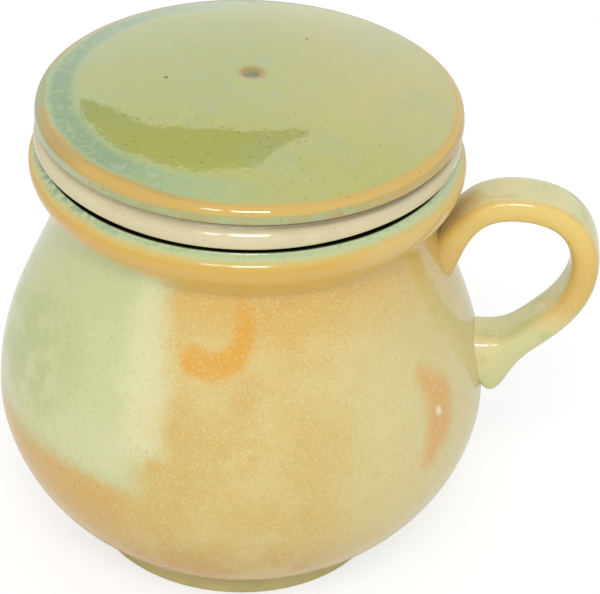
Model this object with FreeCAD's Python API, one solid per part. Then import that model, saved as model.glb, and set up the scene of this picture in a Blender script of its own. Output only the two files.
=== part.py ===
import FreeCAD, Part
import math
import os

# A hand-thrown stoneware tea mug with a lift-out ceramic infuser and a low domed lid.
# Millimetres. Z is up, the origin is the centre of the foot on the table, and the
# handle points along +X. Heights are measured from the table.

# Foot ring, the turned ring that the mug stands on.
FOOT_OUTER_R = 33.2
FOOT_INNER_R = 27.0
FOOT_HEIGHT = 3.6
FOOT_EDGE = 0.8

# Mug body, outside. The belly starts just above the foot ring, swells to its widest,
# draws in to the neck and flares again to the lip.
BELLY_BASE_R = 30.7
BELLY_R = 53.6
BELLY_HEIGHT = 36.8
NECK_R = 40.8
NECK_HEIGHT = 83.4
LIP_R = 46.35
LIP_RISE = 9.6
RIM_RISE = 4.0

# How far the tangent of each stretch of the body's curve reaches.
BASE_REACH_OUT = 11.9
BASE_REACH_UP = 4.7
BELLY_REACH_DOWN = 14.2
BELLY_REACH_UP = 20.5
NECK_REACH_DOWN = 13.1
NECK_REACH_UP = 1.4
LIP_REACH_DOWN = 4.3
LIP_REACH_UP = 2.8

# Mug body, inside.
MUG_WALL = 3.8
MUG_FLOOR = 4.5
FLOOR_CORNER = 14.0
RIM_LAND_WIDTH = 1.6
RIM_OUTER_ROUND = 3.15

# Infuser: a straight cup with drilled holes and a thick collar that rests on the rim.
NECK_CLEARANCE = 1.0
INFUSER_WALL = 3.2
INFUSER_FLOOR = 3.5
INFUSER_BOTTOM = 27.0
INFUSER_FLARE = 3.4
INFUSER_FLARE_HEIGHT = 6.0
INFUSER_BASE_ROUND = 2.5
COLLAR_R = 44.45
COLLAR_HEIGHT = 5.7
COLLAR_EDGE = 0.7

# Drain holes of the infuser: rings in the floor and rows round the wall.
HOLE_R = 1.5
FLOOR_RING_STEP = 8.0
FLOOR_RINGS = 3
HOLES_PER_RING = 6
WALL_ROWS = 4
WALL_ROW_HOLES = 14
WALL_ROW_STEP = 8.0
WALL_FIRST_ROW = 10.0

# Lid: a low domed disc with a shallow thumb dimple and a ring that keeps it centred.
LID_R = 45.2
LID_EDGE = 0.4
LID_SHOULDER_WIDTH = 4.0
LID_SHOULDER_HEIGHT = 4.2
LID_DOME_RISE = 5.5
LID_DOME_SLOPE = 16.0
LID_THICKNESS = 4.6
DIMPLE_R = 1.8
DIMPLE_DEPTH = 1.0
RING_CLEARANCE = 0.8
RING_WALL = 3.5
RING_DEPTH = 5.0
RING_EDGE = 0.6

# Handle: a pulled strap. Its middle line leaves the neck at the upper root, climbs to
# the crown, turns at the outermost point and comes back into the belly at the lower
# root. Between them it passes the spring and the bend, measured out and up from the
# upper root, and the return, the rest and the tail, measured from the lower root.
STRAP_WIDTH = 12.1
STRAP_THICKNESS = 6.1
CROWN_REACH = 59.4
CROWN_HEIGHT = 86.3
SHOULDER_DROP = 3.4
SHOULDER_SHARE = 0.68
OUTER_REACH = 72.6
OUTER_HEIGHT = 73.0
UPPER_ROOT_HEIGHT = 69.8
SPRING_OUT = 1.8
SPRING_UP = 8.8
BEND_OUT = 6.0
BEND_UP = 14.1
LOWER_ROOT_HEIGHT = 45.0
TAIL_OUT = 4.9
TAIL_UP = 5.2
REST_OUT = 9.3
REST_UP = 9.0
RETURN_OUT = 16.7
RETURN_UP = 17.2
ROOT_SINK = 3.0
ROOT_WIDTH = 14.0
UPPER_FLARE = 4.5
LOWER_FLARE = 13.0
FLARE_LENGTH = 12.0
SECTION_POWER = 2.6
SECTION_POINTS = 16

LIP_HEIGHT = NECK_HEIGHT + LIP_RISE
RIM_HEIGHT = LIP_HEIGHT + RIM_RISE
RIM_LAND_OUTER_R = LIP_R - RIM_OUTER_ROUND
RIM_LAND_INNER_R = RIM_LAND_OUTER_R - RIM_LAND_WIDTH
NECK_BORE_R = NECK_R - MUG_WALL
INFUSER_R = NECK_BORE_R - NECK_CLEARANCE
INFUSER_BORE_R = INFUSER_R - INFUSER_WALL
COLLAR_TOP = RIM_HEIGHT + COLLAR_HEIGHT
RING_R = INFUSER_BORE_R - RING_CLEARANCE
RING_BORE_R = RING_R - RING_WALL
LID_TOP = COLLAR_TOP + LID_SHOULDER_HEIGHT + LID_DOME_RISE

AXIS_POINT = FreeCAD.Vector(0, 0, 0)
UP = FreeCAD.Vector(0, 0, 1)


def at(radius, height):
    """A point of a turned profile."""
    return FreeCAD.Vector(radius, 0, height)


def straight(start, end):
    return Part.makeLine(at(*start), at(*end))


def bend(*poles):
    """A smooth stretch of profile that leaves and arrives along its first and last legs."""
    curve = Part.BezierCurve()
    curve.setPoles([at(*pole) for pole in poles])
    return curve.toShape()


def turned(edges):
    """The solid that a closed profile makes on the wheel."""
    face = Part.Face(Part.Wire(edges))
    return face.revolve(AXIS_POINT, UP, 360)


def body_outline():
    """The outside of the mug body from the foot to the lip's widest ring."""
    base = (BELLY_BASE_R, FOOT_HEIGHT)
    belly = (BELLY_R, BELLY_HEIGHT)
    neck = (NECK_R, NECK_HEIGHT)
    lip = (LIP_R, LIP_HEIGHT)
    return [
        bend(base, (BELLY_BASE_R + BASE_REACH_OUT, FOOT_HEIGHT + BASE_REACH_UP),
             (BELLY_R, BELLY_HEIGHT - BELLY_REACH_DOWN), belly),
        bend(belly, (BELLY_R, BELLY_HEIGHT + BELLY_REACH_UP),
             (NECK_R, NECK_HEIGHT - NECK_REACH_DOWN), neck),
        bend(neck, (NECK_R, NECK_HEIGHT + NECK_REACH_UP),
             (LIP_R, LIP_HEIGHT - LIP_REACH_DOWN), lip),
    ]


def body_radius(height):
    """The mug body's outer radius at a height, for what is joined to its side."""
    for edge in body_outline():
        low, high = edge.ParameterRange
        if edge.valueAt(high).z < height:
            continue
        for _ in range(50):
            middle = (low + high) / 2
            if edge.valueAt(middle).z < height:
                low = middle
            else:
                high = middle
        return edge.valueAt(low).x
    return LIP_R


def foot_ring():
    outer, inner = FOOT_OUTER_R, FOOT_INNER_R
    return turned([
        straight((inner, FOOT_EDGE), (inner, FOOT_HEIGHT)),
        straight((inner, FOOT_HEIGHT), (outer - FOOT_EDGE, FOOT_HEIGHT)),
        bend((outer - FOOT_EDGE, FOOT_HEIGHT), (outer, FOOT_HEIGHT), (outer, FOOT_HEIGHT - FOOT_EDGE)),
        straight((outer, FOOT_HEIGHT - FOOT_EDGE), (outer, FOOT_EDGE)),
        bend((outer, FOOT_EDGE), (outer, 0), (outer - FOOT_EDGE, 0)),
        straight((outer - FOOT_EDGE, 0), (inner + FOOT_EDGE, 0)),
        bend((inner + FOOT_EDGE, 0), (inner, 0), (inner, FOOT_EDGE)),
    ])


def mug_body():
    floor = FOOT_HEIGHT + MUG_FLOOR
    floor_r = BELLY_BASE_R - MUG_WALL
    cavity_r = BELLY_R - MUG_WALL
    land_out = (RIM_LAND_OUTER_R, RIM_HEIGHT)
    land_in = (RIM_LAND_INNER_R, RIM_HEIGHT)
    neck = (NECK_BORE_R, NECK_HEIGHT)
    belly = (cavity_r, BELLY_HEIGHT)
    return turned([
        straight((0, FOOT_HEIGHT), (BELLY_BASE_R, FOOT_HEIGHT)),
        *body_outline(),
        bend((LIP_R, LIP_HEIGHT), (LIP_R, LIP_HEIGHT + LIP_REACH_UP),
             (LIP_R - RIM_OUTER_ROUND / 4, RIM_HEIGHT), land_out),
        straight(land_out, land_in),
        bend(land_in, (RIM_LAND_INNER_R, LIP_HEIGHT), (NECK_BORE_R, LIP_HEIGHT - RIM_RISE), neck),
        bend(neck, (NECK_BORE_R, NECK_HEIGHT - NECK_REACH_DOWN),
             (cavity_r, BELLY_HEIGHT + BELLY_REACH_UP), belly),
        bend(belly, (cavity_r, BELLY_HEIGHT - BELLY_REACH_DOWN),
             (floor_r + FLOOR_CORNER / 2, floor), (floor_r, floor)),
        straight((floor_r, floor), (0, floor)),
        straight((0, floor), (0, FOOT_HEIGHT)),
    ])


def body_envelope():
    """The mug body with its inside filled, which the handle's roots are trimmed by."""
    return turned([
        straight((0, FOOT_HEIGHT), (BELLY_BASE_R, FOOT_HEIGHT)),
        *body_outline(),
        straight((LIP_R, LIP_HEIGHT), (0, LIP_HEIGHT)),
        straight((0, LIP_HEIGHT), (0, FOOT_HEIGHT)),
    ])


def strap_section(centre, heading, width, thickness):
    """A soft oval across the strap, square to the way that the strap is heading."""
    across = FreeCAD.Vector(0, 1, 0)
    outward = heading.cross(across)
    points = []
    for step in range(SECTION_POINTS):
        angle = 2 * math.pi * step / SECTION_POINTS
        side = math.copysign(abs(math.cos(angle)) ** (2 / SECTION_POWER), math.cos(angle))
        rise = math.copysign(abs(math.sin(angle)) ** (2 / SECTION_POWER), math.sin(angle))
        points.append(centre + across * (side * width / 2) + outward * (rise * thickness / 2))
    curve = Part.BSplineCurve()
    curve.interpolate(points, PeriodicFlag=True)
    return Part.Wire([curve.toShape()])


def flare(distance):
    """How much of a root's flare is left at a distance along the strap from the body."""
    return max(0.0, 1 - distance / FLARE_LENGTH) ** 2


def mug_handle():
    upper = at(body_radius(UPPER_ROOT_HEIGHT), UPPER_ROOT_HEIGHT)
    lower = at(body_radius(LOWER_ROOT_HEIGHT), LOWER_ROOT_HEIGHT)
    shoulder = at(CROWN_REACH + SHOULDER_SHARE * (OUTER_REACH - CROWN_REACH), CROWN_HEIGHT - SHOULDER_DROP)
    stations = [
        upper - at(ROOT_SINK, 0),
        upper + at(SPRING_OUT, SPRING_UP),
        upper + at(BEND_OUT, BEND_UP),
        at(CROWN_REACH, CROWN_HEIGHT),
        shoulder,
        at(OUTER_REACH, OUTER_HEIGHT),
        lower + at(RETURN_OUT, RETURN_UP),
        lower + at(REST_OUT, REST_UP),
        lower + at(TAIL_OUT, TAIL_UP),
        lower - at(ROOT_SINK, 0),
    ]
    middle = Part.BSplineCurve()
    middle.interpolate(stations)
    sections = []
    for station in stations:
        heading = middle.tangent(middle.parameter(station))[0]
        near_upper = flare(station.distanceToPoint(upper))
        near_lower = flare(station.distanceToPoint(lower))
        width = STRAP_WIDTH + (ROOT_WIDTH - STRAP_WIDTH) * (near_upper + near_lower)
        thickness = STRAP_THICKNESS + UPPER_FLARE * near_upper + LOWER_FLARE * near_lower
        sections.append(strap_section(station, heading, width, thickness))
    strap = Part.makeLoft(sections, True, False)
    return strap.cut(body_envelope())


def infuser_collar():
    outer, low, high = COLLAR_R, RIM_HEIGHT, COLLAR_TOP
    edge = COLLAR_EDGE
    return turned([
        straight((INFUSER_BORE_R, low), (outer - edge, low)),
        bend((outer - edge, low), (outer, low), (outer, low + edge)),
        straight((outer, low + edge), (outer, high - edge)),
        bend((outer, high - edge), (outer, high), (outer - edge, high)),
        straight((outer - edge, high), (INFUSER_BORE_R + edge, high)),
        bend((INFUSER_BORE_R + edge, high), (INFUSER_BORE_R, high), (INFUSER_BORE_R, high - edge)),
        straight((INFUSER_BORE_R, high - edge), (INFUSER_BORE_R, low)),
    ])


def drill(radius_at, angle, height, direction, length):
    """A drill's path: a cylinder from a point on a ring, along a direction."""
    start = FreeCAD.Vector(radius_at * math.cos(angle), radius_at * math.sin(angle), height)
    return Part.makeCylinder(HOLE_R, length, start, direction)


def infuser_holes():
    holes = [drill(0, 0, INFUSER_BOTTOM - HOLE_R, UP, INFUSER_FLOOR + 2 * HOLE_R)]
    for ring in range(1, FLOOR_RINGS + 1):
        count = HOLES_PER_RING * ring
        for step in range(count):
            angle = 2 * math.pi * step / count
            holes.append(drill(FLOOR_RING_STEP * ring, angle, INFUSER_BOTTOM - HOLE_R, UP,
                               INFUSER_FLOOR + 2 * HOLE_R))
    for row in range(WALL_ROWS):
        height = INFUSER_BOTTOM + WALL_FIRST_ROW + WALL_ROW_STEP * row
        for step in range(WALL_ROW_HOLES):
            angle = 2 * math.pi * (step + row % 2 / 2) / WALL_ROW_HOLES
            outward = FreeCAD.Vector(math.cos(angle), math.sin(angle), 0)
            holes.append(drill(INFUSER_BORE_R - INFUSER_WALL, angle, height, outward, 3 * INFUSER_WALL))
    return holes


def infuser_cup():
    flare = INFUSER_R + INFUSER_FLARE
    flare_low = RIM_HEIGHT - INFUSER_FLARE_HEIGHT
    inner_floor = INFUSER_BOTTOM + INFUSER_FLOOR
    base = INFUSER_BASE_ROUND
    cup = turned([
        straight((0, INFUSER_BOTTOM), (INFUSER_R - base, INFUSER_BOTTOM)),
        bend((INFUSER_R - base, INFUSER_BOTTOM), (INFUSER_R, INFUSER_BOTTOM),
             (INFUSER_R, INFUSER_BOTTOM + base)),
        straight((INFUSER_R, INFUSER_BOTTOM + base), (INFUSER_R, flare_low)),
        bend((INFUSER_R, flare_low), (INFUSER_R, RIM_HEIGHT), (flare, RIM_HEIGHT)),
        straight((flare, RIM_HEIGHT), (INFUSER_BORE_R, RIM_HEIGHT)),
        straight((INFUSER_BORE_R, RIM_HEIGHT), (INFUSER_BORE_R, inner_floor + base)),
        bend((INFUSER_BORE_R, inner_floor + base), (INFUSER_BORE_R, inner_floor),
             (INFUSER_BORE_R - base, inner_floor)),
        straight((INFUSER_BORE_R - base, inner_floor), (0, inner_floor)),
        straight((0, inner_floor), (0, INFUSER_BOTTOM)),
    ])
    return cup.cut(Part.makeCompound(infuser_holes()))


def lid_disc():
    shoulder_r = LID_R - LID_SHOULDER_WIDTH
    shoulder = COLLAR_TOP + LID_SHOULDER_HEIGHT
    slope = math.tan(math.radians(LID_DOME_SLOPE))
    lead = shoulder_r / 3
    soft = LID_SHOULDER_WIDTH / 2
    under = LID_TOP - LID_THICKNESS
    return turned([
        straight((RING_BORE_R, COLLAR_TOP), (LID_R - LID_EDGE, COLLAR_TOP)),
        bend((LID_R - LID_EDGE, COLLAR_TOP), (LID_R, COLLAR_TOP), (LID_R, COLLAR_TOP + LID_EDGE)),
        bend((LID_R, COLLAR_TOP + LID_EDGE), (LID_R, shoulder - soft),
             (shoulder_r + soft, shoulder - soft * slope), (shoulder_r, shoulder)),
        bend((shoulder_r, shoulder), (shoulder_r - lead, shoulder + lead * slope),
             (DIMPLE_R + lead, LID_TOP), (DIMPLE_R, LID_TOP)),
        bend((DIMPLE_R, LID_TOP), (DIMPLE_R, LID_TOP - DIMPLE_DEPTH), (0, LID_TOP - DIMPLE_DEPTH)),
        straight((0, LID_TOP - DIMPLE_DEPTH), (0, under)),
        bend((0, under), (lead, under), (RING_BORE_R, COLLAR_TOP + (under - COLLAR_TOP) / 2),
             (RING_BORE_R, COLLAR_TOP)),
    ])


def lid_locating_ring():
    low = COLLAR_TOP - RING_DEPTH
    edge = RING_EDGE
    return turned([
        straight((RING_BORE_R, COLLAR_TOP), (RING_BORE_R, low + edge)),
        bend((RING_BORE_R, low + edge), (RING_BORE_R, low), (RING_BORE_R + edge, low)),
        straight((RING_BORE_R + edge, low), (RING_R - edge, low)),
        bend((RING_R - edge, low), (RING_R, low), (RING_R, low + edge)),
        straight((RING_R, low + edge), (RING_R, COLLAR_TOP)),
        straight((RING_R, COLLAR_TOP), (RING_BORE_R, COLLAR_TOP)),
    ])


os.makedirs("parts", exist_ok=True)
for make in (foot_ring, mug_body, mug_handle, infuser_collar, infuser_cup, lid_disc, lid_locating_ring):
    solid = make()
    solid.exportStep("parts/" + make.__name__ + ".step")
    box = solid.BoundBox
    print(make.__name__, "solids", len(solid.Solids), "valid", solid.isValid(),
          "volume", round(solid.Volume), "x", round(box.XMin, 2), round(box.XMax, 2),
          "z", round(box.ZMin, 2), round(box.ZMax, 2))
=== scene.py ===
# %% [markdown]
# A lidded tea mug with a lift-out infuser, dressed in Blender.
# The mug is hand-thrown stoneware under a reactive glaze: amber where the coat is thin or
# hot, pale green where it pools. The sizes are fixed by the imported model, so every piece
# below is made in metres in that model's own frame: Z up, the table at zero, the handle
# along +X. The lesson goes from the turned forms to the strap, then to the glazes, and
# ends with the studio.

# %% Load the frame
import bpy
import math
import numpy
from mathutils import Matrix, Vector


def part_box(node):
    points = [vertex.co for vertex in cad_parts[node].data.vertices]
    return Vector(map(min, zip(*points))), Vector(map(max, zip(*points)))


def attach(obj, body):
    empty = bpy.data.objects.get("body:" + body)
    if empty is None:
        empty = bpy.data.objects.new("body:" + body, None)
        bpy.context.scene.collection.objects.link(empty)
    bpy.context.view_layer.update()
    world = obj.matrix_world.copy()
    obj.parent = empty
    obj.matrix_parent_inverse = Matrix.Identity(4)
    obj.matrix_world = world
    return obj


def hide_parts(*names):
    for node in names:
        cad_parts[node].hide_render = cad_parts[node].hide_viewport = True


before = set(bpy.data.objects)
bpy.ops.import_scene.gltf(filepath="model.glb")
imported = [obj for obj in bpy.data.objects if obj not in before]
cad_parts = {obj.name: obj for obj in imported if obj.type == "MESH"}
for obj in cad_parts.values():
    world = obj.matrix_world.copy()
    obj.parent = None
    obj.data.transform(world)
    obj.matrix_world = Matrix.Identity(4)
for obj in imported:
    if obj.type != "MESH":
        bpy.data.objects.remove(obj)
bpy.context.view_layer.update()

# %% [markdown]
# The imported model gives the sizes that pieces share: how high the rim and the collar sit,
# how wide the lid, the belly and the foot are. Reading them here keeps the dressed pieces
# on their seats. The remaining sizes shape the curves between those rings.

# %% Sizes read from the frame
MM = 0.001
RIM_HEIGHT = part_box("mug_body")[1][2]
FOOT_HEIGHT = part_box("mug_body")[0][2]
BELLY_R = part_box("mug_body")[1][0]
FOOT_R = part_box("foot_ring")[1][0]
COLLAR_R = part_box("infuser_collar")[1][0]
COLLAR_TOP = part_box("infuser_collar")[1][2]
LID_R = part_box("lid_disc")[1][0]
LID_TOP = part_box("lid_disc")[1][2]
RING_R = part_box("lid_locating_ring")[1][0]
print("rim", RIM_HEIGHT, "belly", BELLY_R, "lid", LID_R, "top", LID_TOP)

# %% Sizes that shape the curves
MUG_WALL = 3.8 * MM
MUG_FLOOR = 4.5 * MM
BELLY_BASE_R = 30.7 * MM
BELLY_HEIGHT = 36.8 * MM
NECK_R = 40.8 * MM
NECK_HEIGHT = 83.4 * MM
LIP_R = 46.3 * MM
LIP_HEIGHT = RIM_HEIGHT - 4.6 * MM
SEAT_OUTER_R = 43.2 * MM
SEAT_INNER_R = SEAT_OUTER_R - 1.6 * MM
MIDDLE_R = 38 * MM
FOOT_INNER_R = 27.0 * MM
INFUSER_BORE_R = RING_R + 0.8 * MM
RING_BORE_R = RING_R - 3.5 * MM
POLE_R = 0.02 * MM

# %% [markdown]
# A potter raises a pot from a ring of clay, pulling it up and in or out. The same can be
# done with operators: a circle is added at the first ring, then extruded and scaled from
# ring to ring. That keeps clean quads running round and up, which a Subdivision Surface
# turns into the soft skin of glazed clay. A spun profile would give the same shape, but
# the pulled one is easier to follow and to change. Where a form closes on its axis, its
# last ring is tiny and is merged to one point.

# %% Helpers for turned forms
def leave_edit_mode():
    """Back to object mode with nothing selected, so that an operator meets only its own piece."""
    if bpy.context.object and bpy.context.object.mode != "OBJECT":
        bpy.ops.object.mode_set(mode="OBJECT")
    bpy.ops.object.select_all(action="DESELECT")


def work_on(piece):
    """Makes a piece the only selected and active one."""
    leave_edit_mode()
    piece.select_set(True)
    bpy.context.view_layer.objects.active = piece


def curve(start, lead, arrive, end, count):
    """Rings along a smooth stretch that leaves towards lead and comes in from arrive."""
    rings = []
    for step in range(1, count + 1):
        t = step / count
        weights = ((1 - t) ** 3, 3 * t * (1 - t) ** 2, 3 * t * t * (1 - t), t ** 3)
        pulls = list(zip(weights, (start, lead, arrive, end)))
        rings.append(tuple(sum(w * p[axis] for w, p in pulls) for axis in (0, 1)))
    return rings


def throw(name, rings, segments=64):
    """Pulls a circle of clay through rings of (radius, height) and closes the skin."""
    leave_edit_mode()
    radius, height = rings[0]
    bpy.ops.mesh.primitive_circle_add(vertices=segments, radius=radius, location=(0, 0, height))
    piece = bpy.context.object
    piece.name = name
    piece.data.name = name
    bpy.ops.object.mode_set(mode="EDIT")
    bpy.ops.mesh.select_all(action="SELECT")
    for next_radius, next_height in rings[1:]:
        grow = next_radius / radius
        rise = (0, 0, next_height - height)
        bpy.ops.mesh.extrude_region_move(TRANSFORM_OT_translate={"value": rise})
        bpy.ops.transform.resize(value=(grow, grow, 1), center_override=(0, 0, next_height))
        radius, height = next_radius, next_height
    bpy.ops.mesh.select_all(action="SELECT")
    bpy.ops.mesh.remove_doubles(threshold=2.5 * POLE_R)
    bpy.ops.mesh.normals_make_consistent(inside=False)
    work_on(piece)
    bpy.ops.object.transform_apply(location=True, rotation=True, scale=True)
    return piece


def soften(piece, levels=2):
    """Gives the piece its smooth skin."""
    work_on(piece)
    skin = piece.modifiers.new("skin", "SUBSURF")
    skin.levels = levels
    skin.render_levels = levels
    bpy.ops.object.modifier_apply(modifier=skin.name)
    bpy.ops.object.shade_smooth()
    print(piece.name, "faces", len(piece.data.polygons))


# %% [markdown]
# No thrown pot is exact. Its skin wanders a little, and its rim is neither quite level
# nor quite centred over the foot: on this mug the handle's side stands about a
# millimetre high. The wander is a Displace modifier that only ever sinks in, so the piece
# stays within its size. The lean is a turn and a nudge with proportional editing, which
# fades out down the wall, as the pull of the hand does.

# %% Helpers for unevenness
LEAN = math.radians(0.8)
NUDGE = 0.4 * MM
LEAN_FADE = 26 * MM
PRESS_FADE = 28 * MM
FINGERTIP = 5 * MM


def pick(piece, test):
    """Selects the points of a piece whose places pass a test, and stays in edit mode."""
    work_on(piece)
    bpy.ops.object.mode_set(mode="EDIT")
    bpy.ops.mesh.select_all(action="DESELECT")
    bpy.ops.object.mode_set(mode="OBJECT")
    for point in piece.data.vertices:
        point.select = test(point.co)
    bpy.ops.object.mode_set(mode="EDIT")


def lean(piece, above, nudge, turn=LEAN):
    """Turns and nudges what lies above a height, with less and less of it further down."""
    pick(piece, lambda place: place.z > above)
    fade = {"use_proportional_edit": True, "proportional_edit_falloff": "SMOOTH",
            "proportional_size": LEAN_FADE}
    bpy.ops.transform.rotate(value=turn, orient_axis="Y",
                             center_override=(0, 0, RIM_HEIGHT), **fade)
    bpy.ops.transform.translate(value=(-nudge, 0, 0), **fade)
    leave_edit_mode()
    print(piece.name, "leans by", round(math.degrees(turn), 2), "degrees")


def press(piece, azimuth, radius, height, push, gives):
    """Pushes the skin round a place on the pot. Only points that pass the test give way."""
    turn = math.radians(azimuth)
    middle = Vector((math.sin(turn) * radius, -math.cos(turn) * radius, height))
    work_on(piece)
    for point in piece.data.vertices:
        point.hide = not gives(point.co)
    pick(piece, lambda place: gives(place) and (place - middle).length < FINGERTIP)
    bpy.ops.transform.translate(value=push, use_proportional_edit=True,
                                proportional_edit_falloff="SMOOTH",
                                proportional_size=PRESS_FADE)
    bpy.ops.mesh.reveal(select=False)
    leave_edit_mode()


def hand_made(piece, depth, grain):
    """Lets the skin wander by up to depth, as clay does under the hand."""
    work_on(piece)
    lumps = bpy.data.textures.new(piece.name + "_lumps", "CLOUDS")
    lumps.noise_scale = grain
    wander = piece.modifiers.new("wander", "DISPLACE")
    wander.texture = lumps
    wander.texture_coords = "LOCAL"
    wander.mid_level = 1.0
    wander.strength = depth
    bpy.ops.object.modifier_apply(modifier=wander.name)


# %% [markdown]
# The mug body is one thrown shell. Its outside runs from the underside over the round
# belly to the drawn-in neck and the flared lip. The lip slopes outwards to a soft edge,
# and a narrow flat seat inside it carries the infuser. The inside of the mug follows one
# wall's thickness further in.

# %% Throw the mug body
def mug_rings():
    """Outside from the underside up to the lip, then down the inside to the floor."""
    floor = FOOT_HEIGHT + MUG_FLOOR
    floor_r = BELLY_BASE_R - MUG_WALL
    neck_in_r = NECK_R - MUG_WALL
    belly_in_r = BELLY_R - MUG_WALL
    base = (BELLY_BASE_R, FOOT_HEIGHT)
    belly = (BELLY_R, BELLY_HEIGHT)
    neck = (NECK_R, NECK_HEIGHT)
    lip = (LIP_R, LIP_HEIGHT)
    lip_top = (SEAT_OUTER_R + 0.2 * MM, RIM_HEIGHT - 1.1 * MM)
    neck_in = (neck_in_r, NECK_HEIGHT)
    belly_in = (belly_in_r, BELLY_HEIGHT)
    return [
        (POLE_R, FOOT_HEIGHT), (12 * MM, FOOT_HEIGHT), (24 * MM, FOOT_HEIGHT),
        (BELLY_BASE_R - 0.3 * MM, FOOT_HEIGHT), base,
        *curve(base, (BELLY_BASE_R + 11.9 * MM, FOOT_HEIGHT + 4.7 * MM),
               (BELLY_R, BELLY_HEIGHT - 14.2 * MM), belly, 12),
        *curve(belly, (BELLY_R, BELLY_HEIGHT + 20.5 * MM),
               (NECK_R, NECK_HEIGHT - 13.1 * MM), neck, 12),
        *curve(neck, (NECK_R, NECK_HEIGHT + 1.4 * MM), (LIP_R, LIP_HEIGHT - 4.0 * MM), lip, 8),
        *curve(lip, (LIP_R, LIP_HEIGHT + 1.8 * MM),
               (LIP_R - 0.4 * MM, LIP_HEIGHT + 2.1 * MM), lip_top, 8),
        (SEAT_OUTER_R + 0.1 * MM, RIM_HEIGHT - 0.3 * MM), (SEAT_OUTER_R - 0.2 * MM, RIM_HEIGHT),
        (SEAT_INNER_R, RIM_HEIGHT),
        *curve((SEAT_INNER_R, RIM_HEIGHT), (SEAT_INNER_R, RIM_HEIGHT - 4 * MM),
               (neck_in_r, RIM_HEIGHT - 8 * MM), neck_in, 6),
        *curve(neck_in, (neck_in_r, NECK_HEIGHT - 13.1 * MM),
               (belly_in_r, BELLY_HEIGHT + 20.5 * MM), belly_in, 9),
        *curve(belly_in, (belly_in_r, BELLY_HEIGHT - 14.2 * MM),
               (floor_r + 7 * MM, floor), (floor_r, floor), 9),
        (14 * MM, floor), (POLE_R, floor),
    ]


mug = throw("mug_shell", mug_rings())
lean(mug, RIM_HEIGHT - 6 * MM, NUDGE)
soften(mug)
hand_made(mug, 0.35 * MM, 50 * MM)

# %% [markdown]
# The foot ring is turned on the wheel when the clay is leather-hard, so its edges are
# crisp but slightly rubbed, and its outer face leans in a little towards the belly. Its
# rings go once round its section and meet again.

# %% Turn the foot ring
def foot_rings():
    """Once round the ring's section: inside, top, outside, underside."""
    edge = 0.7 * MM
    top_r = FOOT_R - 0.6 * MM
    middle = (FOOT_INNER_R + FOOT_R) / 2
    return [
        (FOOT_INNER_R, FOOT_HEIGHT / 2), (FOOT_INNER_R, FOOT_HEIGHT - edge),
        (FOOT_INNER_R + edge, FOOT_HEIGHT), (middle, FOOT_HEIGHT), (top_r - edge, FOOT_HEIGHT),
        (top_r, FOOT_HEIGHT - edge), (FOOT_R - 0.2 * MM, FOOT_HEIGHT / 2), (FOOT_R, edge),
        (FOOT_R - 0.2 * MM, edge / 3), (FOOT_R - edge, 0), (middle, 0),
        (FOOT_INNER_R + edge, 0), (FOOT_INNER_R, edge), (FOOT_INNER_R, FOOT_HEIGHT / 2),
    ]


foot = throw("foot_ring_turned", foot_rings())
soften(foot)

# %% [markdown]
# The infuser's collar is a thick rounded ring that stands on the rim and carries the lid.
# Its shoulder falls away under the lid's edge, which leaves the thin dark line between them, and
# its lower edge lifts off the lip a little at the front left and front right, where the gap shows
# black over the painted shadow line on the seat. The cup below it is left as the imported model
# has it, with its drain holes, and only gets its glaze.

# %% Throw the infuser's collar
COLLAR_BULGE_R = COLLAR_R + 0.3 * MM
COLLAR_FLAT_R = 42.2 * MM


def collar_rings():
    """Up the bore, out over the flat top, down the bead and back under."""
    low, high = RIM_HEIGHT, COLLAR_TOP
    bulge = (COLLAR_BULGE_R, low + 1.6 * MM)
    shoulder = (COLLAR_BULGE_R - 1.8 * MM, high - 1.2 * MM)
    return [
        (INFUSER_BORE_R, (low + high) / 2), (INFUSER_BORE_R, high - 0.7 * MM),
        (INFUSER_BORE_R + 0.7 * MM, high), (MIDDLE_R, high), (COLLAR_FLAT_R, high),
        (COLLAR_FLAT_R + 0.5 * MM, high - 0.3 * MM), shoulder,
        *curve(shoulder, (COLLAR_BULGE_R - 0.1 * MM, high - 2.35 * MM),
               (COLLAR_BULGE_R, high - 3.0 * MM), bulge, 7),
        *curve(bulge, (COLLAR_BULGE_R, low + 0.5 * MM),
               (COLLAR_BULGE_R - 0.3 * MM, low + 0.15 * MM), (SEAT_OUTER_R + 0.2 * MM, low), 5),
        (MIDDLE_R, low), (INFUSER_BORE_R + 0.7 * MM, low), (INFUSER_BORE_R, low + 0.7 * MM),
        (INFUSER_BORE_R, (low + high) / 2),
    ]


def lower_edge(place):
    """Whether a place lies on the collar's lower outer edge."""
    return place.z < RIM_HEIGHT + 2.5 * MM and place.xy.length > SEAT_OUTER_R


collar = throw("collar_thrown", collar_rings())
press(collar, -48, COLLAR_BULGE_R, RIM_HEIGHT, (0, 0, 0.4 * MM), lower_edge)
press(collar, 48, COLLAR_BULGE_R, RIM_HEIGHT, (0, 0, 0.45 * MM), lower_edge)
lean(collar, 0, NUDGE + 0.1 * MM)
soften(collar)

# %% [markdown]
# The lid is a low dome with a full shoulder, hollow underneath, and with a small dimple
# at its middle where the glaze has closed a steam hole.

# %% Throw the lid
LID_EDGE_R = LID_R - 0.3 * MM


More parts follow.
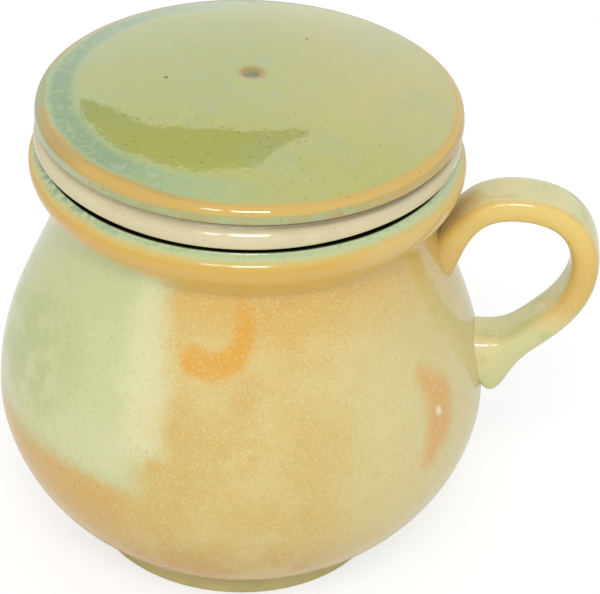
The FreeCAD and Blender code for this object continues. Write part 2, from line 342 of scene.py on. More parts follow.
def lid_rings():
    """From the middle of the hollow out to the edge, up the shoulder and in to the dimple."""
    shoulder_r = LID_EDGE_R - 3.0 * MM
    shoulder = COLLAR_TOP + 4.4 * MM
    slope = math.tan(math.radians(15))
    lead = shoulder_r / 3
    edge = 0.4 * MM
    under = LID_TOP - 4.6 * MM
    dimple_r = 1.8 * MM
    dimple_low = LID_TOP - 1.0 * MM
    return [
        (POLE_R, under),
        *curve((0, under), (RING_BORE_R / 2, under), (RING_BORE_R, (under + COLLAR_TOP) / 2),
               (RING_BORE_R, COLLAR_TOP), 8),
        (RING_BORE_R + 0.3 * MM, COLLAR_TOP), (MIDDLE_R, COLLAR_TOP),
        (LID_EDGE_R - 2 * edge, COLLAR_TOP), (LID_EDGE_R - edge, COLLAR_TOP),
        (LID_EDGE_R, COLLAR_TOP + edge),
        *curve((LID_EDGE_R, COLLAR_TOP + edge), (LID_EDGE_R, shoulder - 0.7 * MM),
               (shoulder_r + 2 * MM, shoulder - 2 * MM * slope), (shoulder_r, shoulder), 9),
        *curve((shoulder_r, shoulder), (shoulder_r - lead, shoulder + lead * slope),
               (dimple_r + lead, LID_TOP), (dimple_r + 0.4 * MM, LID_TOP), 10),
        (dimple_r, LID_TOP - 0.1 * MM), (dimple_r - 0.3 * MM, LID_TOP - 0.5 * MM),
        (dimple_r * 0.5, dimple_low), (POLE_R, dimple_low),
    ]


lid = throw("lid_thrown", lid_rings())
lean(lid, 0, NUDGE / 2, LEAN / 2)
soften(lid)
hand_made(lid, 0.2 * MM, 40 * MM)

# %% [markdown]
# The handle is a strap pulled from a lump of clay and luted on while soft. Its section
# is a soft oval: a plane whose corners are bevelled. The oval is then carried along the
# strap's middle line, one extrusion at a time, and made deeper at the roots, where the
# potter presses the clay on to the wall. A curve with a bevel object would be quicker,
# but it can't grow deeper in one direction only. The section is stood level, resized and
# turned to its new heading at each ring.

# %% The strap's middle line
UPPER_ROOT = Vector((42.97, 0, 69.8)) * MM
LOWER_ROOT = Vector((52.9, 0, 45.0)) * MM
ROOT_SINK = Vector((2.8, 0, 0)) * MM
STATIONS = [
    UPPER_ROOT - ROOT_SINK,
    UPPER_ROOT + Vector((1.8, 0, 8.8)) * MM,
    UPPER_ROOT + Vector((6.0, 0, 14.1)) * MM,
    Vector((59.4, 0, 86.3)) * MM,
    Vector((68.4, 0, 82.9)) * MM,
    Vector((72.6, 0, 73.0)) * MM,
    LOWER_ROOT + Vector((16.7, 0, 17.2)) * MM,
    LOWER_ROOT + Vector((9.3, 0, 9.0)) * MM,
    LOWER_ROOT + Vector((4.9, 0, 5.2)) * MM,
    LOWER_ROOT - ROOT_SINK,
]
RINGS_ALONG_STRAP = 46


def smooth_through(lengths, values, places):
    """Values at places along a line, on the smoothest curve through the given ones."""
    gaps = numpy.diff(lengths)
    steps = numpy.diff(values) / gaps
    size = len(lengths)
    bends = numpy.zeros((size, size))
    pull = numpy.zeros(size)
    bends[0, 0] = bends[-1, -1] = 1.0
    for i in range(1, size - 1):
        bends[i, i - 1:i + 2] = gaps[i - 1], 2 * (gaps[i - 1] + gaps[i]), gaps[i]
        pull[i] = 6 * (steps[i] - steps[i - 1])
    bend = numpy.linalg.solve(bends, pull)
    found = []
    for place in places:
        i = min(max(int(numpy.searchsorted(lengths, place)) - 1, 0), size - 2)
        ahead, back, gap = lengths[i + 1] - place, place - lengths[i], gaps[i]
        found.append((bend[i] * ahead ** 3 + bend[i + 1] * back ** 3) / (6 * gap)
                     + (values[i] / gap - bend[i] * gap / 6) * ahead
                     + (values[i + 1] / gap - bend[i + 1] * gap / 6) * back)
    return found


def middle_line(stations, count):
    """Evenly spaced places on one smooth line through the stations."""
    lengths = numpy.cumsum([0.0] + [(b - a).length for a, b in zip(stations, stations[1:])])
    places = numpy.linspace(0, lengths[-1], count)
    along_x = smooth_through(lengths, [p.x for p in stations], places)
    along_z = smooth_through(lengths, [p.z for p in stations], places)
    return [Vector((x, 0, z)) for x, z in zip(along_x, along_z)]


# %% Pull the strap
STRAP_WIDTH = 12.3 * MM
STRAP_THICKNESS = 6.3 * MM
ROOT_WIDTH = 14.2 * MM
UPPER_FLARE = 4.5 * MM
LOWER_FLARE = 13.0 * MM
FLARE_LENGTH = 12.0 * MM
CORNER_SHARE = 0.34


def flare(distance):
    """How much of a root's flare is left at a distance from it."""
    return max(0.0, 1 - distance / FLARE_LENGTH) ** 2


def strap_size(place):
    """Width and thickness of the strap at a place on its middle line."""
    upper = flare((place - UPPER_ROOT).length)
    lower = flare((place - LOWER_ROOT).length)
    width = STRAP_WIDTH + (ROOT_WIDTH - STRAP_WIDTH) * (upper + lower)
    return width, STRAP_THICKNESS + UPPER_FLARE * upper + LOWER_FLARE * lower


def pull_strap(name, line):
    """Carries the bevelled section along the line. With no window open, the rotate operator
    turns the other way, which the signs below allow for."""
    leave_edit_mode()
    width, thickness = strap_size(line[0])
    bpy.ops.mesh.primitive_plane_add(size=1, location=line[0], rotation=(0, math.pi / 2, 0))
    piece = bpy.context.object
    piece.name = name
    piece.data.name = name
    piece.scale = (thickness, width, 1)
    bpy.ops.object.transform_apply(location=True, rotation=True, scale=True)
    bpy.ops.object.mode_set(mode="EDIT")
    bpy.ops.mesh.select_all(action="SELECT")
    bpy.ops.mesh.bevel(offset=CORNER_SHARE * thickness, affect="VERTICES", segments=2)
    bpy.ops.mesh.select_all(action="SELECT")
    pitch = 0.0
    for index, place in enumerate(line):
        before = line[max(index - 1, 0)]
        after = line[min(index + 1, len(line) - 1)]
        heading = after - before
        new_pitch = math.atan2(heading.z, heading.x)
        if new_pitch > 0.75 * math.pi:
            new_pitch -= 2 * math.pi
        new_width, new_thickness = strap_size(place)
        grow = (1, new_width / width, new_thickness / thickness)
        if index:
            bpy.ops.mesh.extrude_region_move(TRANSFORM_OT_translate={"value": place - before})
        bpy.ops.transform.rotate(value=-pitch, orient_axis="Y", center_override=place)
        bpy.ops.transform.resize(value=grow, center_override=place)
        bpy.ops.transform.rotate(value=new_pitch, orient_axis="Y", center_override=place)
        pitch, width, thickness = new_pitch, new_width, new_thickness
    bpy.ops.mesh.select_all(action="SELECT")
    bpy.ops.mesh.normals_make_consistent(inside=False)
    leave_edit_mode()
    return piece


strap = pull_strap("strap_pulled", middle_line(STATIONS, RINGS_ALONG_STRAP))
soften(strap)
for axis in (0, 1, 2):
    reach = [v.co[axis] / MM for v in strap.data.vertices]
    print("strap axis", axis, "from", round(min(reach), 2), "to", round(max(reach), 2))

# %% [markdown]
# Materials are built from nodes. One function adds a node, sets its fields and sockets
# and returns its output. A second one lays a coat of colour over what is already there,
# only where all its edges allow, so that a glaze reads as a list of coats.

# %% Helpers for materials
def paint(code):
    """A colour written as it is seen, #RRGGBB, turned to linear light."""
    seen = [int(code[place:place + 2], 16) / 255 for place in (1, 3, 5)]
    linear = [c / 12.92 if c <= 0.04045 else ((c + 0.055) / 1.055) ** 2.4 for c in seen]
    return (*linear, 1.0)


def add(tree, kind, sockets=None, **fields):
    """Adds a node. A socket given another node's output is linked, any other value is set."""
    node = tree.nodes.new(kind)
    for field, value in fields.items():
        setattr(node, field, value)
    for key, value in (sockets or {}).items():
        if isinstance(value, bpy.types.NodeSocket):
            tree.links.new(value, node.inputs[key])
        else:
            node.inputs[key].default_value = value
    return next(out for out in node.outputs if out.enabled)


def coat(tree, under, code, *edges, share=1.0):
    """Lays a colour over another, where every edge (value, none here, full here) allows it."""
    cover = share
    for value, none, full in edges:
        edge = add(tree, "ShaderNodeMapRange",
                   {"Value": value, "From Min": none, "From Max": full},
                   interpolation_type="SMOOTHSTEP")
        cover = add(tree, "ShaderNodeMath", {0: edge, 1: cover}, operation="MULTIPLY")
    return add(tree, "ShaderNodeMix", {0: cover, 6: under, 7: paint(code)}, data_type="RGBA")


def new_glaze(name, roughness, ior=1.5):
    """An empty glossy material: fired glaze is a glass, so its index is about 1.5."""
    material = bpy.data.materials.new(name)
    material.use_nodes = True
    tree = material.node_tree
    shader = tree.nodes["Principled BSDF"]
    shader.inputs["Roughness"].default_value = roughness
    shader.inputs["IOR"].default_value = ior
    return material, tree, shader


# %% [markdown]
# A glaze follows the pot: it changes with height, as it runs down, and with the angle
# round the axis, as the kiln's flame passes. So each pattern reads the Object coordinates
# turned into a height and an angle in degrees, from -90 at the left to 90 at the handle.
# The back mirrors the front, so no seam shows there. The turn round the axis times a mean
# radius is a length along the skin, which keeps spots round.

# %% Where a point lies on the pot
SKIN_R = 48 * MM


def pot_places(tree):
    """Sockets for a point's place, height, radius, angle and position on the unrolled skin."""
    place = add(tree, "ShaderNodeTexCoord").node.outputs["Object"]
    parts = add(tree, "ShaderNodeSeparateXYZ", {0: place}).node.outputs
    front = add(tree, "ShaderNodeMath", {0: parts["Y"], 1: -1.0}, operation="MULTIPLY")
    turn = add(tree, "ShaderNodeMath", {0: parts["X"], 1: front}, operation="ARCTAN2")
    depth = add(tree, "ShaderNodeMath", {0: parts["Y"]}, operation="ABSOLUTE")
    angle = add(tree, "ShaderNodeMath", {0: parts["X"], 1: depth}, operation="ARCTAN2")
    along = add(tree, "ShaderNodeMath", {0: turn, 1: SKIN_R}, operation="MULTIPLY")
    flat = add(tree, "ShaderNodeCombineXYZ", {0: parts["X"], 1: parts["Y"]})
    return {
        "place": place, "parts": parts, "height": parts["Z"],
        "radius": add(tree, "ShaderNodeVectorMath", {0: flat}, operation="LENGTH"),
        "angle": add(tree, "ShaderNodeMath", {0: angle}, operation="DEGREES"),
        "skin": add(tree, "ShaderNodeCombineXYZ", {0: along, 1: parts["Z"]}),
    }


# %% [markdown]
# Fired glaze never has a ruled edge. Its patches come from Noise textures, whose scale is
# one over the patch's size, and whose values mostly lie between 0.3 and 0.7. The same
# noise makes a height or an angle stray, so that an edge laid on it wanders.

# %% Patches, wandering edges and relief
PATCHES = {"Detail": 4.0, "Roughness": 0.55}
GRAIN = {"Detail": 2.0, "Roughness": 0.55}
STRAY = {"Detail": 5.0, "Roughness": 0.6}
MARBLED = {"Detail": 5.0, "Roughness": 0.65}


def wandering(tree, source, place, size, amount):
    """A measure that strays by up to an amount, over patches of the given size."""
    cloud = add(tree, "ShaderNodeTexNoise", {"Vector": place, "Scale": 1 / size, **STRAY})
    stray = add(tree, "ShaderNodeMath", {0: cloud, 1: 0.5}, operation="SUBTRACT")
    return add(tree, "ShaderNodeMath", {0: stray, 1: 3 * amount, 2: source},
               operation="MULTIPLY_ADD")


def glaze_relief(tree, shader, place):
    """Faint swells that a glaze keeps from the wheel, and its orange-peel skin."""
    waves, peel = (add(tree, "ShaderNodeTexNoise", {"Vector": place, "Scale": 1 / size, **PATCHES})
                   for size in (11 * MM, 1.1 * MM))
    swells = add(tree, "ShaderNodeBump",
                 {"Height": waves, "Strength": 0.3, "Distance": 0.25 * MM})
    skin = add(tree, "ShaderNodeBump",
               {"Height": peel, "Strength": 0.1, "Distance": 0.05 * MM, "Normal": swells})
    tree.links.new(skin, shader.inputs["Normal"])


# %% [markdown]
# Where a glaze has run, it leaves a soft-edged streak. The same kind of streak also draws a
# painted reflection and a painted highlight on the body. A streak is a line of points with half
# widths, and the helper measures how far a place lies outside it: the nearest point of each
# stretch is found by a dot product, and the stretches are joined smoothly.

# %% Runs of glaze and streaks of painted light
def outside_streak(tree, skin, marks):
    """How far a place lies outside a streak, a line of (along, height, half width) in mm."""
    outside = None
    for (x0, z0, w0), (x1, z1, w1) in zip(marks, marks[1:]):
        reach = Vector((x1 - x0, z1 - z0, 0)) * MM
        local = add(tree, "ShaderNodeVectorMath",
                    {0: skin, 1: Vector((x0, z0, 0)) * MM}, operation="SUBTRACT")
        share = add(tree, "ShaderNodeVectorMath",
                    {0: local, 1: reach / reach.length_squared}, operation="DOT_PRODUCT")
        share = add(tree, "ShaderNodeMath", {0: share, 1: 0.0}, operation="ADD", use_clamp=True)
        nearest = add(tree, "ShaderNodeVectorMath", {0: reach, "Scale": share}, operation="SCALE")
        gap = add(tree, "ShaderNodeVectorMath", {0: local, 1: nearest}, operation="DISTANCE")
        width = add(tree, "ShaderNodeMath",
                    {0: share, 1: (w1 - w0) * MM, 2: w0 * MM}, operation="MULTIPLY_ADD")
        gap = add(tree, "ShaderNodeMath", {0: gap, 1: width}, operation="SUBTRACT")
        if outside is None:
            outside = gap
        else:
            outside = add(tree, "ShaderNodeMath",
                          {0: outside, 1: gap, 2: 2 * MM}, operation="SMOOTH_MIN")
    return outside


# %% [markdown]
# The body has a reactive stoneware glaze: amber, turning sandy towards the handle, with a
# pale green coat over orange at the left. It gives the eye a soft warmth under a hard
# gloss. The zones are laid one over the other, from the widest to the smallest.

# %% Zones of the body's glaze
def body_zones(tree, pot, side):
    """The broad zones, over an amber ground."""
    place, height = pot["place"], pot["height"]
    level = wandering(tree, height, place, 14 * MM, 3 * MM)
    ragged = wandering(tree, height, place, 5 * MM, 2.2 * MM)
    drift, patches = (
        add(tree, "ShaderNodeTexNoise", {"Vector": place, "Scale": 1 / size, **PATCHES})
        for size in (17 * MM, 6 * MM))
    colour = coat(tree, paint("#C49742"), "#CCB067", (level, 14 * MM, 34 * MM))
    colour = coat(tree, colour, "#D4AE5D", (level, 60 * MM, 80 * MM))
    colour = coat(tree, colour, "#D3C384", (drift, 0.42, 0.66), (level, 82 * MM, 68 * MM),
                  share=0.6)
    colour = coat(tree, colour, "#CDA356", (patches, 0.5, 0.72), share=0.4)
    colour = coat(tree, colour, "#D3CC94", (side, 12, 46), (level, 88 * MM, 60 * MM), share=0.7)
    colour = coat(tree, colour, "#D0A256", (side, -12, -26), (ragged, 45 * MM, 37 * MM),
                  (ragged, 20 * MM, 32 * MM), share=0.7)
    colour = coat(tree, colour, "#C2C890", (side, -10, -27), (ragged, 36 * MM, 43 * MM),
                  (ragged, 92 * MM, 85 * MM))
    colour = coat(tree, colour, "#DBD9AE", (side, -13, -26), (ragged, 38 * MM, 45 * MM),
                  (ragged, 62 * MM, 47 * MM), share=0.35)
    return coat(tree, colour, "#ABB878", (side, -30, -55), (level, 40 * MM, 50 * MM),
                (level, 72 * MM, 62 * MM), (patches, 0.35, 0.6), share=0.6)


# %% [markdown]
# An amber run hangs in a hook under the neck, and a flame-coloured lick is at the right. A soft
# pale streak beside the green is a painted reflection, and a pale spot on the lick is a painted
# highlight. Over all of it lie pale crystals and brown pits. The real crystals are about a third
# of a millimetre across. They are drawn at half a millimetre and more, here and on the strap, to
# show at all.

# %% Runs, painted light, crystals and pits
HOOK = [(1.5, 86, 1.0), (3.6, 80, 1.6), (4.0, 75, 2.2), (1.6, 70.8, 2.4), (-3.0, 68.6, 2.4),
        (-7.4, 69.6, 2.9)]
FLAME = [(46, 59, 1.2), (49.5, 53, 3.2), (48, 46, 3.0), (45, 41, 1.5)]
# The next two marks are painted light: a painted highlight on the lick and a painted reflection
# beside the green.
PAINTED_HIGHLIGHT_SPOT = [(48.4, 50.2, 0.2), (48.6, 49.6, 0.2)]
PAINTED_REFLECTION_STREAK = [(-19, 88, 1.0), (-20, 76, 2.5), (-17.5, 62, 3.2), (-16, 52, 2.0)]


def body_runs(tree, pot, colour):
    """The streaks, a painted reflection, a painted highlight and the fine grain, over the zones.
    """
    place, height, skin = pot["place"], pot["height"], pot["skin"]
    reflection_streak = wandering(tree, outside_streak(tree, skin, PAINTED_REFLECTION_STREAK), place, 6 * MM, 2.5 * MM)
    hook = wandering(tree, outside_streak(tree, skin, HOOK), place, 4 * MM, 0.5 * MM)
    flame = wandering(tree, outside_streak(tree, skin, FLAME), place, 4 * MM, 0.9 * MM)
    highlight_spot = outside_streak(tree, skin, PAINTED_HIGHLIGHT_SPOT)
    crystals, pits = (
        add(tree, "ShaderNodeTexNoise", {"Vector": place, "Scale": 1 / size, **GRAIN})
        for size in (0.55 * MM, 0.8 * MM))
    # A painted reflection: the soft pale streak beside the green.
    colour = coat(tree, colour, "#DDD8AC", (reflection_streak, 5 * MM, -2 * MM), share=0.6)
    colour = coat(tree, colour, "#D99A14", (hook, 1.4 * MM, -1.2 * MM),
                  (height, 88 * MM, 75 * MM), share=0.78)
    colour = coat(tree, colour, "#D98F33", (flame, 3.2 * MM, -1.8 * MM), share=0.6)
    # A painted highlight: the pale spot on the flame-coloured lick.
    colour = coat(tree, colour, "#E6DEC4", (highlight_spot, 1.1 * MM, 0.1 * MM), share=0.8)
    colour = coat(tree, colour, "#DCD59C", (crystals, 0.52, 0.66), share=0.34)
    return coat(tree, colour, "#B58B4C", (pits, 0.56, 0.7), share=0.22)


# %% [markdown]
# The lip is amber below, yellow where the glaze breaks over the edge and green where it
# pools above. Its heights are measured along the leaning rim. The seat's outer edge has a
# thin dark line with no gloss, which reads as the shadow under the collar. It is painted,
# so it also shows with the infuser lifted out.

# %% The lip
def lip_coats(tree, pot, side, colour):
    """The lip's coats, and the edges that hold the painted shadow line on the seat."""
    place, height = pot["place"], pot["height"]
    off_centre = add(tree, "ShaderNodeVectorMath", {0: place, 1: (NUDGE, 0, 0)}, operation="ADD")
    flat = add(tree, "ShaderNodeVectorMath", {0: off_centre, 1: (1, 1, 0)}, operation="MULTIPLY")
    seat_r = add(tree, "ShaderNodeVectorMath", {0: flat}, operation="LENGTH")
    level = add(tree, "ShaderNodeVectorMath",
                {0: place, 1: (-math.sin(LEAN), 0, 1)}, operation="DOT_PRODUCT")
    lip = wandering(tree, level, place, 5 * MM, 0.3 * MM)
    mottle = add(tree, "ShaderNodeTexNoise",
                 {"Vector": place, "Scale": 1 / (1.6 * MM), **PATCHES})
    colour = coat(tree, colour, "#D4AB53", (lip, 84 * MM, 89 * MM), share=0.8)
    colour = coat(tree, colour, "#D0A84C", (lip, 92.2 * MM, 93.4 * MM))
    colour = coat(tree, colour, "#DEC27C", (lip, 88 * MM, 93 * MM), (side, 20, 45), share=0.6)
    colour = coat(tree, colour, "#CDB566", (lip, 93.6 * MM, 94.5 * MM))
    colour = coat(tree, colour, "#BDCB9B", (lip, 94.3 * MM, 95.3 * MM))
    colour = coat(tree, colour, "#86A37A", (lip, 94.2 * MM, 95.4 * MM), (mottle, 0.4, 0.6),
                  (side, -20, -50), share=0.85)
    colour = coat(tree, colour, "#8DAB86", (lip, 94.6 * MM, 95.8 * MM), (mottle, 0.5, 0.66),
                  share=0.5)
    # Painted shadow: a dark line on the seat's outer edge, for the shade under the collar.
    painted_shadow_line = [(seat_r, 43.45 * MM, 43.2 * MM), (seat_r, 42.2 * MM, 42.6 * MM),
                 (height, 93 * MM, 94 * MM)]
    return coat(tree, colour, "#0E0C04", *painted_shadow_line), painted_shadow_line


# %% Glaze the mug body
def body_glaze():
    """Zones, runs and lip together, with the gloss taken off the painted shadow line."""
    material, tree, shader = new_glaze("reactive_stoneware_glaze_body", 0.12)
    pot = pot_places(tree)
    side = wandering(tree, pot["angle"], pot["place"], 12 * MM, 6.0)
    colour = body_runs(tree, pot, body_zones(tree, pot, side))
    colour, painted_shadow_line = lip_coats(tree, pot, side, colour)
    gloss = coat(tree, paint("#BCBCBC"), "#000000", *painted_shadow_line)
    tree.links.new(colour, shader.inputs["Base Color"])
    tree.links.new(gloss, shader.inputs["Specular IOR Level"])
    glaze_relief(tree, shader, pot["place"])
    print(material.name, "has", len(tree.nodes), "nodes")
    return material


# %% [markdown]
# The strap has the same glaze. It pools pale green on the broad faces and runs thin on the edges,
# where it turns amber. Higher up the loop the edges are painted paler as well, a painted highlight
# over the amber, so they read as bright lines. Its upper root is a little scorched.

# %% Glaze the strap
SCORCH_PLACE = (46.5 * MM, -2.5 * MM, 84 * MM)


def strap_glaze():
    """Pale faces, amber edges, and a painted highlight along the upper edges."""
    material, tree, shader = new_glaze("reactive_stoneware_glaze_strap", 0.1)
    pot = pot_places(tree)
    place, height = pot["place"], pot["height"]
    across = add(tree, "ShaderNodeMath", {0: pot["parts"]["Y"]}, operation="ABSOLUTE")
    across = wandering(tree, across, place, 8 * MM, 0.5 * MM)
    drift, patches = (
        add(tree, "ShaderNodeTexNoise", {"Vector": place, "Scale": 1 / size, **PATCHES})
        for size in (9 * MM, 6 * MM))
    crystals = add(tree, "ShaderNodeTexNoise",
                   {"Vector": place, "Scale": 1 / (0.6 * MM), **GRAIN})
    scorch = add(tree, "ShaderNodeVectorMath", {0: place, 1: SCORCH_PLACE}, operation="DISTANCE")
    colour = coat(tree, paint("#CCCB93"), "#DACE97", (drift, 0.4, 0.62))
    colour = coat(tree, colour, "#AFBB72", (patches, 0.54, 0.68), share=0.45)
    colour = coat(tree, colour, "#D8AD55", (across, 4.0 * MM, 5.4 * MM),
                  (height, 55 * MM, 66 * MM), share=0.85)
    # A painted highlight: a paler, brighter line along the edges up the loop.
    colour = coat(tree, colour, "#E6C970", (across, 4.7 * MM, 5.5 * MM),
                  (height, 70 * MM, 84 * MM), share=0.7)
    colour = coat(tree, colour, "#B07A42", (scorch, 6 * MM, 2 * MM), share=0.25)
    colour = coat(tree, colour, "#DCD6A6", (crystals, 0.54, 0.68), share=0.3)
    tree.links.new(colour, shader.inputs["Base Color"])
    glaze_relief(tree, shader, place)
    print(material.name, "has", len(tree.nodes), "nodes")
    return material


# %% [markdown]
# On the lid the glaze is thick and pale green, bluish near the middle, and gives the eye
# a wet mirror over drifting colour. It has run off the shoulder, which shows amber, and
# has left a blue-green ring inside it at the left.

# %% The top of the lid
def lid_top_coats(tree, pot, side, mottle):
    """Greens on the dome, the blue-green ring and the amber shoulder."""
    place, parts = pot["place"], pot["parts"]
    ring = wandering(tree, pot["radius"], place, 10 * MM, 0.5 * MM)
    drift = add(tree, "ShaderNodeTexNoise", {"Vector": place, "Scale": 1 / (16 * MM), **PATCHES})
    blue = add(tree, "ShaderNodeTexNoise", {"Vector": place, "Scale": 1 / (4 * MM), **MARBLED})
    colour = coat(tree, paint("#A9AF66"), "#B7B369", (parts["X"], -10 * MM, 30 * MM))
    colour = coat(tree, colour, "#ACAE59", (parts["Y"], -8 * MM, -28 * MM), share=0.8)
    colour = coat(tree, colour, "#A6AF77", (drift, 0.5, 0.66), share=0.5)
    colour = coat(tree, colour, "#9DB08C", (blue, 0.5, 0.66), (ring, 22 * MM, 8 * MM), share=0.5)
    colour = coat(tree, colour, "#BDBB75", (mottle, 0.56, 0.7), share=0.3)
    colour = coat(tree, colour, "#98B080", (ring, 34.5 * MM, 38.0 * MM), (side, 22, -20),
                  share=0.7)
    colour = coat(tree, colour, "#73926B", (ring, 36.5 * MM, 38.5 * MM),
                  (ring, 42.5 * MM, 41.0 * MM), (side, -8, -42), (mottle, 0.25, 0.5), share=0.75)
    colour = coat(tree, colour, "#A2BF94", (ring, 37.0 * MM, 39.0 * MM), (mottle, 0.52, 0.64),
                  (side, 10, -30), share=0.45)
    colour = coat(tree, colour, "#C3A44C", (ring, 42.0 * MM, 42.9 * MM), (side, -84, -66))
    colour = coat(tree, colour, "#AE8C33", (ring, 41.6 * MM, 42.8 * MM), (side, -66, -50),
                  (side, 0, -20), share=0.6)
    colour = coat(tree, colour, "#8F7F42", (ring, 42.6 * MM, 43.2 * MM), (side, -44, -62),
                  share=0.4)
    return coat(tree, colour, "#D2A94C", (ring, 42.8 * MM, 43.6 * MM), (side, -60, -40),
                share=0.5)


# %% [markdown]
# Below the shoulder the glaze hangs in a mottled skirt, green with amber patches, and stops in a
# thin dark brown line along the lower edge.

# %% The skirt of the lid
def lid_skirt_coats(tree, pot, side, mottle, colour):
    """The band under the shoulder and the brown line at its foot."""
    place = pot["place"]
    level = add(tree, "ShaderNodeVectorMath",
                {0: place, 1: (-math.sin(LEAN), 0, 1)}, operation="DOT_PRODUCT")
    skirt = wandering(tree, level, place, 5 * MM, 0.35 * MM)
    patches = add(tree, "ShaderNodeTexNoise", {"Vector": place, "Scale": 1 / (9 * MM), **PATCHES})
    colour = coat(tree, colour, "#A5A267", (skirt, 105.4 * MM, 104.7 * MM))
    colour = coat(tree, colour, "#A3B57F", (skirt, 105.2 * MM, 104.5 * MM), (mottle, 0.38, 0.64),
                  share=0.7)
    colour = coat(tree, colour, "#B98F48", (skirt, 105.0 * MM, 103.7 * MM),
                  (patches, 0.53, 0.62), share=0.8)
    colour = coat(tree, colour, "#C99F47", (skirt, 105.4 * MM, 104.6 * MM), (side, 26, 46),
                  share=0.6)
    colour = coat(tree, colour, "#A9C196", (skirt, 105.4 * MM, 104.6 * MM), (side, -30, -45),
                  share=0.6)
    return coat(tree, colour, "#4E3510", (level, 103.4 * MM, 103.2 * MM), share=0.9)


# %% [markdown]
# The glaze has crawled back from the steam hole, which has a rusty rim with a smear to
# its left. Two pinholes and faint brown specks, about two millimetres apart, are where
# gas and iron came through.

# %% Glaze the lid
PINHOLES = [(10.1, 18.1, 111.2), (-17.5, -3.0, 111.5)]
RUSTY_SMEAR = [(-6.5, 1.8, 0.9), (-2.0, 1.3, 0.9)]
THICK_GLAZE_IOR = 1.7


def lid_glaze():
    """Top, skirt and the marks of the kiln. The thick glaze mirrors more than the rest."""
    material, tree, shader = new_glaze("reactive_stoneware_glaze_lid", 0.04, THICK_GLAZE_IOR)
    pot = pot_places(tree)
    place, radius, parts = pot["place"], pot["radius"], pot["parts"]
    side = wandering(tree, pot["angle"], place, 10 * MM, 6.0)
    mottle = add(tree, "ShaderNodeTexNoise", {"Vector": place, "Scale": 1 / (1.8 * MM), **PATCHES})
    colour = lid_top_coats(tree, pot, side, mottle)
    colour = lid_skirt_coats(tree, pot, side, mottle, colour)
    smear = outside_streak(tree, place, RUSTY_SMEAR)
    colour = coat(tree, colour, "#AE8C4B", (smear, 2.2 * MM, 0), share=0.55)
    colour = coat(tree, colour, "#A97F3E", (radius, 3.6 * MM, 2.0 * MM), share=0.85)
    colour = coat(tree, colour, "#72855C", (radius, 1.8 * MM, 1.2 * MM))
    for x, y, z in PINHOLES:
        pin = add(tree, "ShaderNodeVectorMath",
                  {0: place, 1: (x * MM, y * MM, z * MM)}, operation="DISTANCE")
        colour = coat(tree, colour, "#3A3318", (pin, 0.6 * MM, 0.25 * MM), share=0.9)
    specks = add(tree, "ShaderNodeTexVoronoi", {"Vector": place, "Scale": 1 / (2.4 * MM)})
    colour = coat(tree, colour, "#87864A", (specks, 0.2, 0.1),
                  (parts["Y"], -5 * MM, -20 * MM), share=0.45)
    tree.links.new(colour, shader.inputs["Base Color"])
    glaze_relief(tree, shader, place)
    print(material.name, "has", len(tree.nodes), "nodes")
    return material


# %% [markdown]
# Three quiet finishes are left. A cream liner glaze covers the infuser, and shows as a
# smooth pale band. The foot has a thin olive coat that lets the clay through. The ring
# under the lid is bare stoneware, wiped clean so that it can't stick in the kiln, and is
# matt and sandy.

# %% The quiet finishes
def plain_glaze(name, first, second, speck, roughness, size):
    """A finish that drifts between two close colours over patches, with fine specks."""
    material, tree, shader = new_glaze(name, roughness)
    place = pot_places(tree)["place"]
    drift = add(tree, "ShaderNodeTexNoise", {"Vector": place, "Scale": 1 / size, **PATCHES})
    specks = add(tree, "ShaderNodeTexVoronoi", {"Vector": place, "Scale": 1 / (2.6 * MM)})
    colour = coat(tree, paint(first), second, (drift, 0.35, 0.65))
    colour = coat(tree, colour, speck, (specks, 0.12, 0.05), share=0.4)
    tree.links.new(colour, shader.inputs["Base Color"])
    glaze_relief(tree, shader, place)
    print(material.name, "has", len(tree.nodes), "nodes")
    return material


cream = plain_glaze("cream_liner_glaze", "#CFC49C", "#D5CAA2", "#A8966A", 0.1, 9 * MM)
thin_olive = plain_glaze("thin_olive_glaze_foot", "#BFBC7E", "#D0C184", "#A09A68", 0.2, 5 * MM)
bare_clay = plain_glaze("bare_stoneware_clay", "#B39A74", "#C2AB86", "#8E7650", 0.75, 4 * MM)

# %% [markdown]
# Each piece takes its glaze, rides on the body that carries it and stands for the node
# that it dresses. The two nodes that keep their own mesh only get their material.

# %% Dress, ride and replace
def dress(piece, material, body, node):
    """Puts one material on a piece, ties it to its body and hides the node that it stands for."""
    piece.data.materials.clear()
    piece.data.materials.append(material)
    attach(piece, body)
    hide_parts(node)
    print(piece.name, "wears", material.name)


dress(mug, body_glaze(), "mug", "mug_body")
dress(strap, strap_glaze(), "mug", "mug_handle")
dress(foot, thin_olive, "mug", "foot_ring")
dress(collar, cream, "infuser", "infuser_collar")
dress(lid, lid_glaze(), "lid", "lid_disc")
for node_name, material in (("infuser_cup", cream), ("lid_locating_ring", bare_clay)):
    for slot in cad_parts[node_name].material_slots:
        slot.material = material

# %% [markdown]
# The studio: a white floor, a bright even room and two soft lamps near the camera. The
# room is a plain white world, so the glaze turns white where it is seen edge-on, and the
# lamps put the thin highlights on every rounded edge. The floor is paper with a glow that
# only the camera sees, which makes it white and keeps a faint shadow.

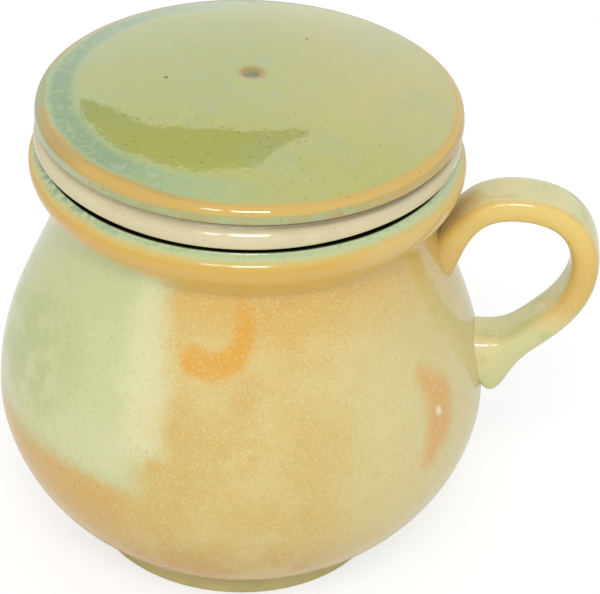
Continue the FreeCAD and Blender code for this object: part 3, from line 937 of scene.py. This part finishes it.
# %% The floor
leave_edit_mode()
bpy.ops.mesh.primitive_plane_add(size=6.0, location=(0, 0, 0))
floor = bpy.context.object
floor.name = "studio_floor"
PAPER_GLOW = 1.12
PAPER_GLOW_SHARE = 0.62
floor_paper, paper_tree, paper_shader = new_glaze("white_studio_paper", 0.9)
paper_shader.inputs["Base Color"].default_value = paint("#F4F4F4")
paper_shader.inputs["Specular IOR Level"].default_value = 0.0
seen = add(paper_tree, "ShaderNodeLightPath").node.outputs["Is Camera Ray"]
lift = add(paper_tree, "ShaderNodeMath", {0: seen, 1: PAPER_GLOW_SHARE}, operation="MULTIPLY")
glow = add(paper_tree, "ShaderNodeEmission", {"Color": (1, 1, 1, 1), "Strength": PAPER_GLOW})
both = add(paper_tree, "ShaderNodeMixShader", {0: lift, 1: paper_shader.outputs[0], 2: glow})
paper_tree.links.new(both, paper_tree.nodes["Material Output"].inputs["Surface"])
floor.data.materials.append(floor_paper)

# %% The white room
ROOM_LIGHT = 0.72
ROOM_SEEN = 1.15

world = bpy.data.worlds.new("white_room")
bpy.context.scene.world = world
world.use_nodes = True
room = world.node_tree
rays = add(room, "ShaderNodeLightPath").node.outputs
bright = rays["Is Camera Ray"]
for ray in ("Is Glossy Ray", "Is Transmission Ray"):
    bright = add(room, "ShaderNodeMath", {0: bright, 1: rays[ray]}, operation="MAXIMUM")
strength = add(room, "ShaderNodeMapRange",
               {"Value": bright, "To Min": ROOM_LIGHT, "To Max": ROOM_SEEN})
room.links.new(strength, room.nodes["Background"].inputs["Strength"])
room.nodes["Background"].inputs["Color"].default_value = (1, 1, 1, 1)


# %% Lamps
LAMP_AIM = Vector((0, 0, 0.06))


def soft_lamp(name, azimuth, elevation, distance, size, power):
    """An oblong soft lamp round the mug. Azimuth 0 is in front, on the -Y side."""
    turn, rise = math.radians(azimuth), math.radians(elevation)
    level = Vector((math.sin(turn), -math.cos(turn), 0)) * math.cos(rise)
    toward = level + Vector((0, 0, math.sin(rise)))
    lamp = bpy.data.lights.new(name, "AREA")
    lamp.shape = "RECTANGLE"
    lamp.size, lamp.size_y = size
    lamp.energy = power
    holder = bpy.data.objects.new(name, lamp)
    holder.location = LAMP_AIM + toward * distance
    holder.rotation_euler = toward.to_track_quat("Z", "Y").to_euler()
    holder.visible_camera = False
    bpy.context.scene.collection.objects.link(holder)
    print(name, "at", [round(c, 2) for c in holder.location])


soft_lamp("window_right", 5.6, 49, 1.6, (0.42, 0.40), 8.2)
soft_lamp("window_left", -17, 47, 1.6, (0.22, 0.40), 2.2)

# %% [markdown]
# Behind the mug a gap between two bright walls shows in the lid as a dark sickle. The gap
# is a dark card that only mirrors see. It starts as a disc of nine corners, and each
# corner is moved to where its reflection falls on the lid.

# %% The gap behind
GAP_DISTANCE = 1.5
GAP_CORNERS = [(-0.69, 0.99), (-0.545, 1.54), (-0.33, 1.67), (-0.09, 1.65), (0.15, 1.58),
               (-0.10, 2.27), (-0.42, 2.40), (-0.76, 1.89), (-0.77, 1.25)]
leave_edit_mode()
bpy.ops.mesh.primitive_circle_add(vertices=len(GAP_CORNERS), fill_type="NGON", location=(0, 0, 0))
gap = bpy.context.object
gap.name = "gap_between_walls"
for corner, (x, z) in zip(gap.data.vertices, GAP_CORNERS):
    corner.co = (x, GAP_DISTANCE, z)
gap_paper, gap_tree, gap_shader = new_glaze("dark_gap_card", 1.0)
shade = add(gap_tree, "ShaderNodeEmission", {"Color": paint("#101870"), "Strength": 1.0})
gap_tree.links.new(shade, gap_tree.nodes["Material Output"].inputs["Surface"])
gap.data.materials.append(gap_paper)
for ray in ("camera", "diffuse", "shadow", "transmission"):
    setattr(gap, "visible_" + ray, False)

# %% [markdown]
# The camera looks down on the mug by about 34 degrees, a little to the right of its
# front, with a long lens, as the rings of the mug show in the photograph.

# %% Camera
CAMERA_PLACE = Vector((31.68, -464.68, 370.92)) * MM
CAMERA_AIM = Vector((12.12, 0.51, 57.15)) * MM
CAMERA_ROLL = -2.87
FOCAL_LENGTH = 154.47

camera_data = bpy.data.cameras.new("camera")
camera_data.lens = FOCAL_LENGTH
camera_data.sensor_width = 36.0
camera = bpy.data.objects.new("camera", camera_data)
camera.location = CAMERA_PLACE
look = (CAMERA_AIM - CAMERA_PLACE).to_track_quat("-Z", "Y").to_matrix().to_4x4()
roll = Matrix.Rotation(math.radians(-CAMERA_ROLL), 4, "Z")
camera.rotation_euler = (look @ roll).to_euler()
bpy.context.scene.collection.objects.link(camera)
bpy.context.scene.camera = camera
bpy.context.scene.view_settings.view_transform = "Standard"
